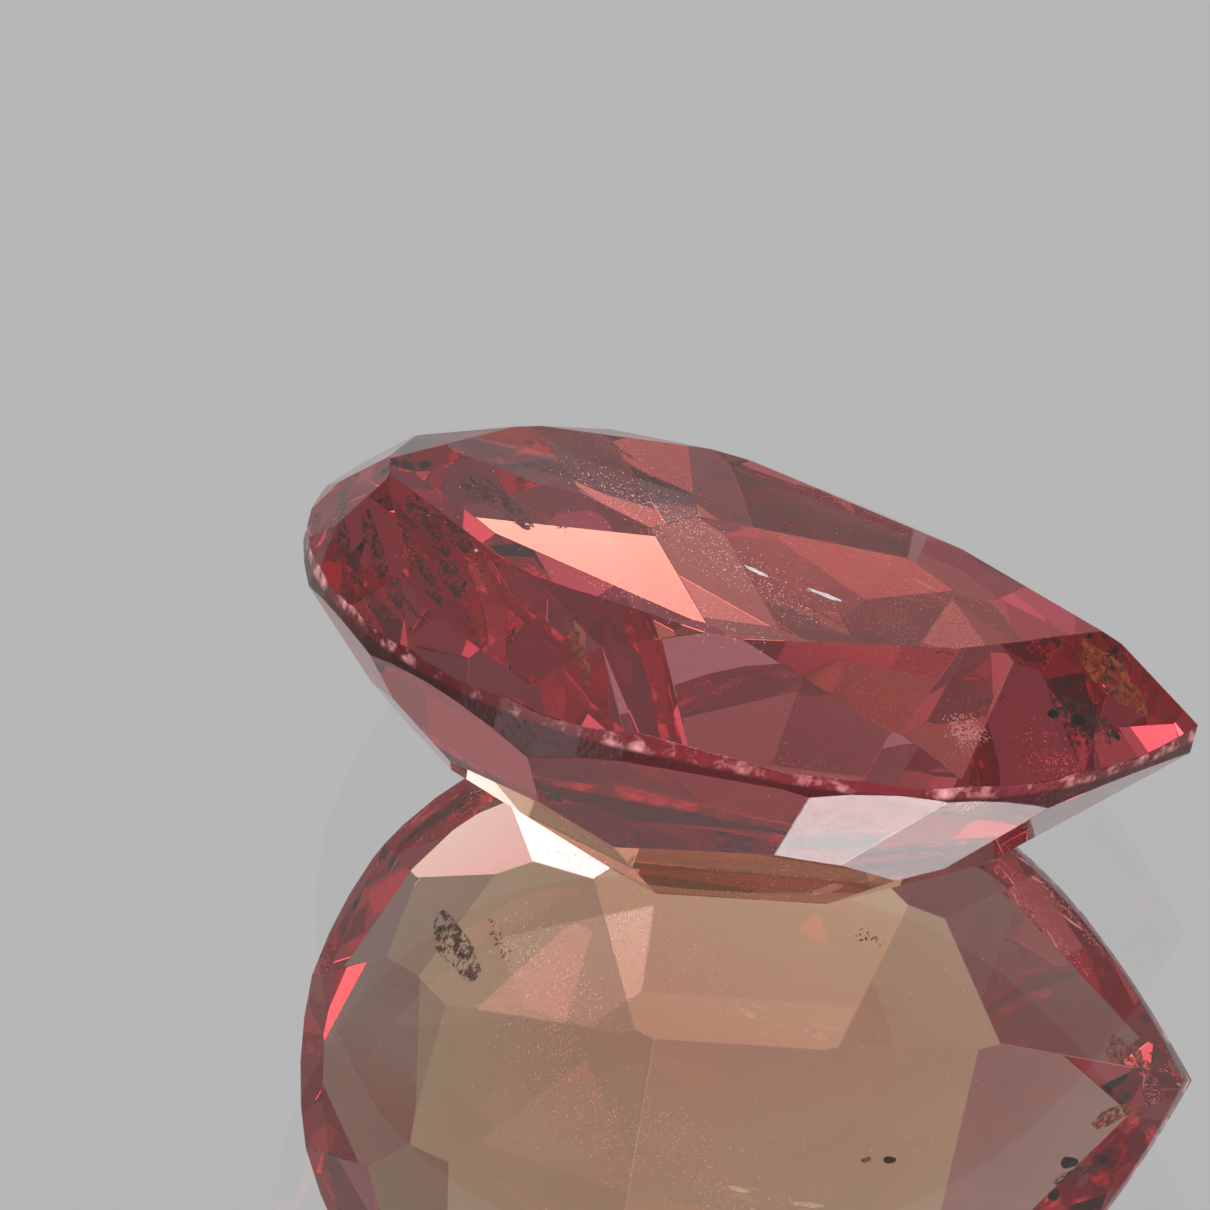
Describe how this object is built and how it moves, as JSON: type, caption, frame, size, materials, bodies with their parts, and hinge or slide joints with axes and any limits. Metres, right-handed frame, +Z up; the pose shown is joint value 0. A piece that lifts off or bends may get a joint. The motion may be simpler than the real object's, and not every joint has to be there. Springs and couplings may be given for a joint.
{
  "type": "pear cut sapphire",
  "caption": "A small faceted pear shaped sapphire in padparadscha pink and orange, lying tilted on one facet of its pavilion with its table facing up and away.",
  "frame": {"origin": "On the resting plane, under the middle of the stone's bounding box", "axes": "+Z up from the resting facet; +X towards the tip of the pear; +Y away from the viewer, towards the side that the table leans to"},
  "size_m": [0.008, 0.0052, 0.0045],
  "materials": {
    "sapphire": "Polished transparent corundum, pinkish red with orange and brown zones, fine silk and small dark inclusions; the girdle is ground matt"
  },
  "bodies": {
    "root": {"pear_cut_sapphire": "sapphire"}
  },
  "joints": []
}
